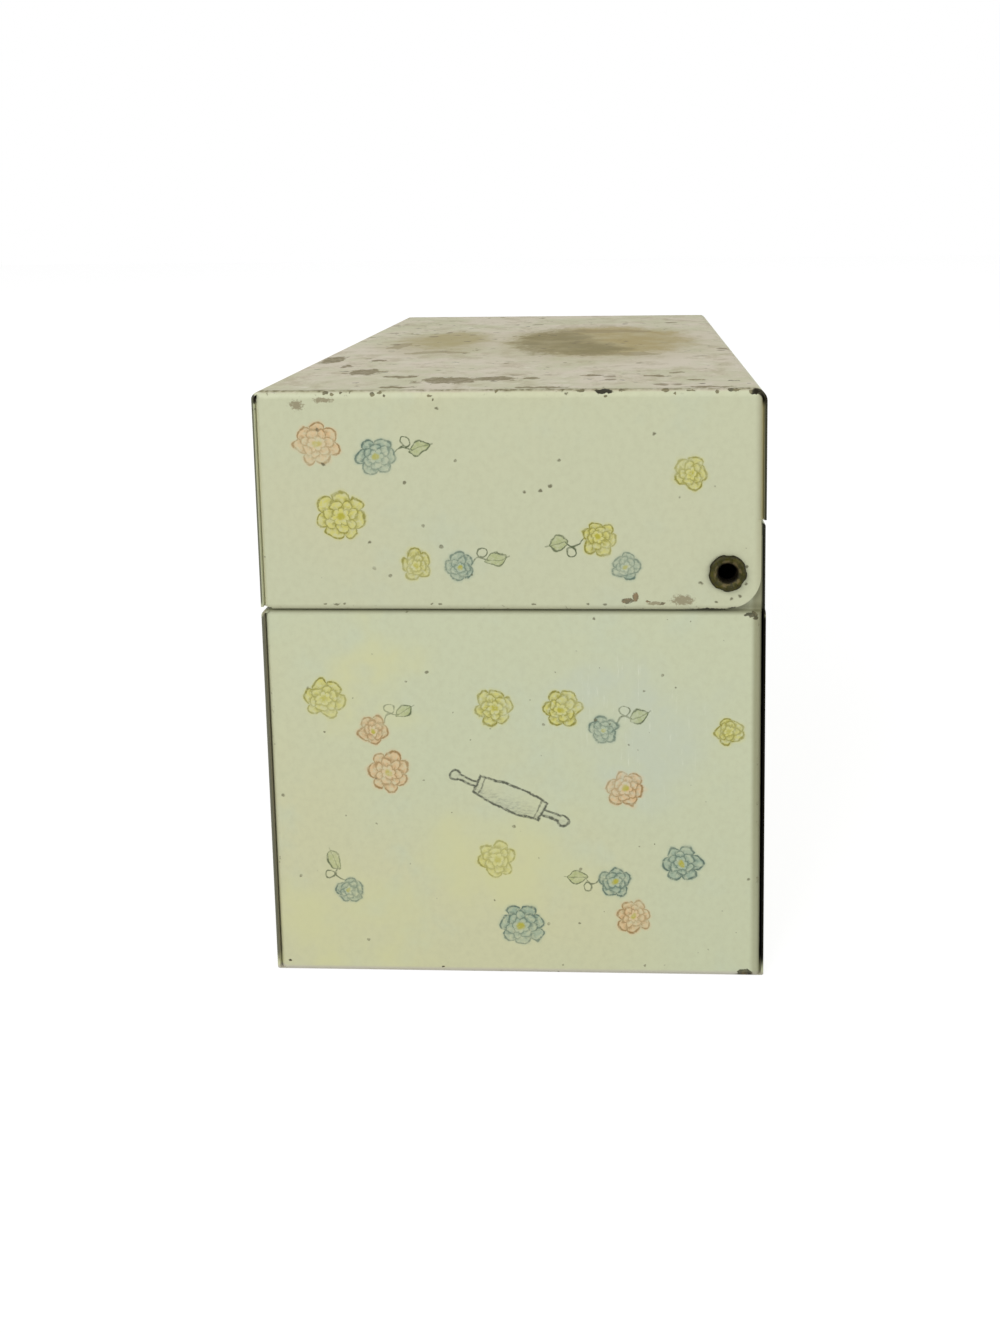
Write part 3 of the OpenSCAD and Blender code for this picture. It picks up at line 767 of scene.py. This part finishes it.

    # Rust and dirt along the lower edge, where the lid rubs the body, a painted shadow where that edge meets
    # the body by the ear, and dark spots over the end
    gritty = mottle(tree, shift(tree, "MULTIPLY", spot, (1.0, 0.8, 1.2)), 2.0, 4.0, 0.75)
    rusty = [(20.4, 70.6, 1.9, 0.8), (21.8, 71.3, 0.8, 1.5), (26.6, 70.2, 1.0, 0.4), (24.0, 70.6, 0.8, 0.4)]
    rusty = ragged(tree, end_blots(tree, chipped, rusty, 0.8), gritty, 0.9)
    seam_shadow = end_blots(tree, chipped, [(35.5, 69.1, 6.0, 0.28), (38.7, 69.3, 1.0, 0.45)], 0.5)
    smudge = [
        (30.0, 70.8, 3.8, 1.7), (-36.6, 105.6, 2.2, 1.7),
        (-32.0, 106.5, 3.4, 0.8), (25.0, 70.2, 2.6, 0.6),
    ]
    smudge = ragged(tree, end_blots(tree, chipped, smudge, 0.9), gritty, 1.0, 0.2)
    low_dots = [
        (-33, 0.5), (-31, 0.8), (-29.6, 0.4), (-14, 0.4), (-12.6, 0.5), (4, 0.5), (13.4, 0.4), (16.5, 0.5),
    ]
    low_dots = end_blots(tree, chipped, [(at, lid_edge + 1.0, wide, 0.25) for at, wide in low_dots], 0.5)
    dark_dots = [
        (41.2, 76.9), (41.0, 73.7), (40.0, 71.5), (35.8, 70.5), (33.2, 73.9), (38.5, 71.0), (-32.4, 95.2),
        (5.4, 90.4), (7.2, 91.3), (2.6, 90.2), (-24.6, 81.2), (-12.2, 105.0), (25.2, 100.4),
    ]
    dark_dots = end_blots(tree, chipped, [(at, up, 0.5, 0.42) for at, up in dark_dots], 0.6)
    pits = both(
        tree,
        specks(tree, spot, 3.0, 0.13, 0.36),
        outside,
        calc(tree, "SUBTRACT", 1.0, on_top),
        fade(tree, grainy, 0.34, 0.6, 0.3, 0.8),
    )
    dots = either(tree, pits, both(tree, dark_dots, 0.8), both(tree, low_dots, 0.75))

    edge_colour = paint(tree, front, colour(30, 28, 18), colour(88, 90, 70))
    groove_colour = paint(tree, front, colour(205, 196, 150), colour(240, 236, 206))
    rust_colour = paint(tree, fade(tree, fine, 0.4, 0.6), colour(74, 62, 34), colour(124, 92, 54))
    worn_colour = paint(tree, fade(tree, fine, 0.36, 0.56), colour(60, 56, 34), colour(118, 110, 76))
    layers = [
        (shaded, colour(146, 140, 106)),
        (lower, colour(110, 104, 72)),
        (both(tree, smudge, 0.72), colour(126, 112, 82)),
        (both(tree, seam_line, 0.9), colour(106, 99, 62)),
        (dots, colour(84, 80, 52)),
        (both(tree, rusty, 0.8), rust_colour),
        (both(tree, either(tree, worn, nicks), 0.85), worn_colour),
        # Black chips, the knocked corner and the painted seam shadow share one dark colour
        (either(tree, black_nick, knocked, seam_shadow), colour(42, 39, 24)),
        # Painted light in the grooves
        (both(tree, groove, 0.92), groove_colour),
        (both(tree, cut, 0.92), edge_colour),
        (both(tree, back_band, 0.92), colour(38, 34, 22)),
    ]
    dark_metallic = both(tree, either(tree, cut, back_band), fade(tree, y, 0.0, 1.0), 0.8)
    dull = either(tree, worn, nicks, cut, back_band, rusty, seam_shadow)
    dull = either(tree, dull, both(tree, marks, 0.3))
    finish_shell(tree, coat, layers, inside, on_top, bare_tin(tree, spot), fine, haze, dull, dark_metallic)
    return material


dress("lid_shell", lid_enamel())

# Eyelets. A hollow brass eyelet at each end holds lid and body together. Its barrel goes through the ear
# and the neck, and its outer flange is rolled over by a setting tool that leaves the edge slightly
# scalloped. The brass is dark with age.
_, pivot_depth, pivot_height = frame["joints"][0]["pos_m"]

# Radius and distance from the middle of the box, in millimetres, from the clinched tail out and back in
eyelet_profile = [
    (1.56, 65.07), (1.56, 65.5), (1.56, 66.35), (1.62, 66.75), (1.82, 67.08), (2.12, 67.34), (2.45, 67.46),
    (2.8, 67.48), (3.12, 67.36), (3.34, 67.12), (3.38, 66.88), (3.2, 66.7), (2.9, 66.62), (2.1, 66.62),
    (1.94, 66.58), (1.94, 66.2), (1.94, 65.6), (2.05, 65.55), (2.45, 65.55), (2.57, 65.42), (2.57, 65.2),
    (2.45, 65.07),
]

# The angle of each scallop round the flange, and the share of the radius that it is drawn in to
scallops = [
    (0.25, 0.955), (0.95, 1.0), (1.5, 0.94), (2.3, 0.985), (3.0, 0.95), (3.75, 1.0), (4.3, 0.945),
    (5.0, 0.98), (5.7, 0.935),
]
scallop_half_angle = 0.17
rolled_edge_radius = 0.00305
flange_x = 0.067


def dark_brass():
    """Brown old brass: darker in the throat and round the edge, and paler on the roll of the flange, where it
    is part worn brass and part painted highlight.
    """
    material, tree = new_finish("eyelet_brass")
    spot = spot_in_mm(tree)
    fine = mottle(tree, spot, 2.2, 5.0, 0.7)
    cloudy = mottle(tree, spot, 0.9, 3.0)
    brass = paint(tree, fade(tree, cloudy, 0.4, 0.62), colour(50, 48, 13), colour(72, 68, 19))
    brass = paint(tree, fade(tree, fine, 0.5, 0.68, 0.0, 0.8), brass, colour(35, 33, 14))
    off = shift(tree, "SUBTRACT", spot, (0, 1000 * pivot_depth, 1000 * pivot_height))
    distance = shift(tree, "LENGTH", shift(tree, "MULTIPLY", off, (0, 1, 1)))
    throat = both(tree, fade(tree, distance, 2.1, 1.7), 0.9)
    brass = paint(tree, throat, brass, colour(30, 25, 18))
    # A paler ring on the roll of the flange: part worn brass, part painted highlight
    wear_and_highlight = both(tree, fade(tree, distance, 1.8, 2.0), fade(tree, distance, 2.6, 2.2))
    wear_and_highlight = both(tree, wear_and_highlight, fade(tree, cloudy, 0.42, 0.58), 0.8)
    brass = paint(tree, wear_and_highlight, brass, colour(104, 92, 62))
    grime = both(tree, fade(tree, distance, 2.9, 3.3), 0.8)
    brass = paint(tree, grime, brass, colour(34, 30, 16))
    shader = tree.nodes["Principled BSDF"]
    give(tree, shader.inputs["Base Color"], brass)
    give(tree, shader.inputs["Metallic"], fade(tree, fine, 0.35, 0.6, 0.9, 0.55))
    give(tree, shader.inputs["Roughness"], fade(tree, cloudy, 0.35, 0.65, 0.42, 0.62))
    roughen(tree, shader, calc(tree, "MULTIPLY_ADD", fine, 0.03, calc(tree, "MULTIPLY", cloudy, 0.05)), 0.9)
    return material


def pick(mesh, chosen):
    """Selects the points of an edit mesh that the test picks."""
    bpy.ops.object.mode_set(mode="OBJECT")
    for face in mesh.polygons:
        face.select = False
    for line in mesh.edges:
        line.select = False
    for point in mesh.vertices:
        point.select = bool(chosen(point.co))
    bpy.ops.object.mode_set(mode="EDIT")


def resize_round_pivot(x, scale):
    """Resizes what is selected towards or away from the hinge's axis."""
    centre = (x, pivot_depth, pivot_height)
    bpy.ops.transform.resize(value=(1, scale, scale), center_override=centre)


def turned_eyelet(name):
    """Extrudes the bore's circle along the profile, closes it, then presses in the scallops."""
    first_radius, first_x = eyelet_profile[0]
    last_radius, _ = eyelet_profile[-1]
    bpy.ops.object.select_all(action="DESELECT")
    bpy.ops.mesh.primitive_circle_add(
        vertices=72,
        radius=first_radius / 1000,
        location=(first_x / 1000, pivot_depth, pivot_height),
        rotation=(0, math.pi / 2, 0),
    )
    piece = bpy.context.object
    piece.name = name
    bpy.ops.object.transform_apply(location=True, rotation=True, scale=True)
    bpy.ops.object.mode_set(mode="EDIT")
    bpy.ops.mesh.select_mode(type="VERT")
    bpy.ops.mesh.select_all(action="SELECT")
    radius, along = first_radius, first_x
    for next_radius, next_x in eyelet_profile[1:]:
        step = (next_x - along) / 1000
        bpy.ops.mesh.extrude_region_move(TRANSFORM_OT_translate={"value": (step, 0, 0)})
        resize_round_pivot(next_x / 1000, next_radius / radius)
        radius, along = next_radius, next_x

    def at_ends(point):
        from_axis = 1000 * math.hypot(point.y - pivot_depth, point.z - pivot_height)
        off_radius = min(abs(from_axis - first_radius), abs(from_axis - last_radius))
        return abs(1000 * point.x - first_x) < 0.01 and off_radius < 0.02

    pick(piece.data, at_ends)
    bpy.ops.mesh.bridge_edge_loops()
    for angle, drawn_in in scallops:
        def on_scallop(point):
            across, up = point.y - pivot_depth, point.z - pivot_height
            off_angle = abs((math.atan2(up, across) - angle + math.pi) % (2 * math.pi) - math.pi)
            return math.hypot(across, up) > rolled_edge_radius and off_angle < scallop_half_angle

        pick(piece.data, on_scallop)
        resize_round_pivot(flange_x, drawn_in)
    bpy.ops.mesh.select_all(action="SELECT")
    bpy.ops.mesh.remove_doubles(threshold=1e-6)
    bpy.ops.mesh.normals_make_consistent(inside=False)
    bpy.ops.object.mode_set(mode="OBJECT")
    smooth = piece.modifiers.new("smooth", "SUBSURF")
    smooth.levels = smooth.render_levels = 1
    bpy.ops.object.modifier_apply(modifier=smooth.name)
    bpy.ops.object.shade_smooth_by_angle(angle=math.radians(50))
    return piece


brass = dark_brass()
right_eyelet = turned_eyelet("rolled_eyelet_right")
bpy.ops.object.duplicate()
left_eyelet = bpy.context.object
left_eyelet.name = "rolled_eyelet_left"
bpy.ops.transform.mirror(
    constraint_axis=(True, False, False), orient_type="GLOBAL", center_override=(0, 0, 0)
)
bpy.ops.object.transform_apply(location=True, rotation=True, scale=True)
bpy.ops.object.mode_set(mode="EDIT")
bpy.ops.mesh.select_all(action="SELECT")
bpy.ops.mesh.normals_make_consistent(inside=False)
bpy.ops.object.mode_set(mode="OBJECT")
for piece, node in ((right_eyelet, "hinge_eyelet_right"), (left_eyelet, "hinge_eyelet_left")):
    piece.data.materials.clear()
    piece.data.materials.append(brass)
    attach(piece, "case")
    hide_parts(node)

# Studio. The box stands on a plain white sweep under soft, even light, as it does in the photograph, and
# the camera looks at its right-hand end from a little above.
shown_floor, lit_floor, shaded_floor = 0.84, 0.64, 0.26
shown_world, lighting_world = 1.0, 0.56
box_middle = (0.03, 0, 0.05)


def in_view(tree):
    """1 for what the camera sees, also in a reflection, and 0 for what lights the box."""
    ray = put(tree, "LightPath").outputs
    return either(tree, ray["Is Camera Ray"], ray["Is Glossy Ray"], ray["Is Transmission Ray"])


def plain_grey(level):
    """A plain grey."""
    return (level, level, level, 1)


bpy.ops.object.select_all(action="DESELECT")
bpy.ops.mesh.primitive_plane_add(size=6.0, location=(0, 0, 0))
floor = bpy.context.object
floor.name = "studio_floor"
white_floor, tree = new_finish("white_floor")
tree.nodes.clear()
seen = in_view(tree)
glow = put(tree, "Emission", plain_grey(1), calc(tree, "MULTIPLY", seen, shown_floor))
matt = put(tree, "BsdfDiffuse", paint(tree, seen, plain_grey(lit_floor), plain_grey(shaded_floor)), 0.6)
mixed = put(tree, "AddShader", glow.outputs[0], matt.outputs[0])
put(tree, "OutputMaterial", mixed.outputs[0])
floor.data.materials.append(white_floor)

world = bpy.data.worlds.new("white_studio")
bpy.context.scene.world = world
world.use_nodes = True
tree = world.node_tree
tree.nodes.clear()
level = calc(tree, "MULTIPLY_ADD", in_view(tree), shown_world - lighting_world, lighting_world)
around = put(tree, "Background", plain_grey(1), level)
put(tree, "OutputWorld", around.outputs[0])


def softbox(name, place, aim, size, power):
    """A square soft lamp at a place, turned to what it lights."""
    lamp = bpy.data.lights.new(name, "AREA")
    lamp.shape = "SQUARE"
    lamp.size = size
    lamp.energy = power
    made = bpy.data.objects.new(name, lamp)
    bpy.context.collection.objects.link(made)
    made.location = place
    away = [a - b for a, b in zip(place, aim)]
    tilt = math.atan2(math.hypot(away[0], away[1]), away[2])
    made.rotation_euler = (tilt, 0, math.atan2(away[0], -away[1]))


softbox("key_light", (0.9, -0.7, 0.9), box_middle, size=0.9, power=8.0)
softbox("fill_light", (1.0, 0.8, 0.5), box_middle, size=0.9, power=4.6)

lens = bpy.data.cameras.new("camera")
lens.lens = 28.37
lens.sensor_width = 36.0
lens.shift_x = -0.0637
lens.shift_y = -0.2515
lens.clip_start = 0.01
camera = bpy.data.objects.new("camera", lens)
bpy.context.collection.objects.link(camera)
camera.location = (0.24391, 0.02001, 0.13791)
camera.rotation_euler = (math.radians(83.642), math.radians(0.668), math.radians(92.026))
bpy.context.scene.camera = camera
bpy.context.scene.view_settings.view_transform = "Standard"
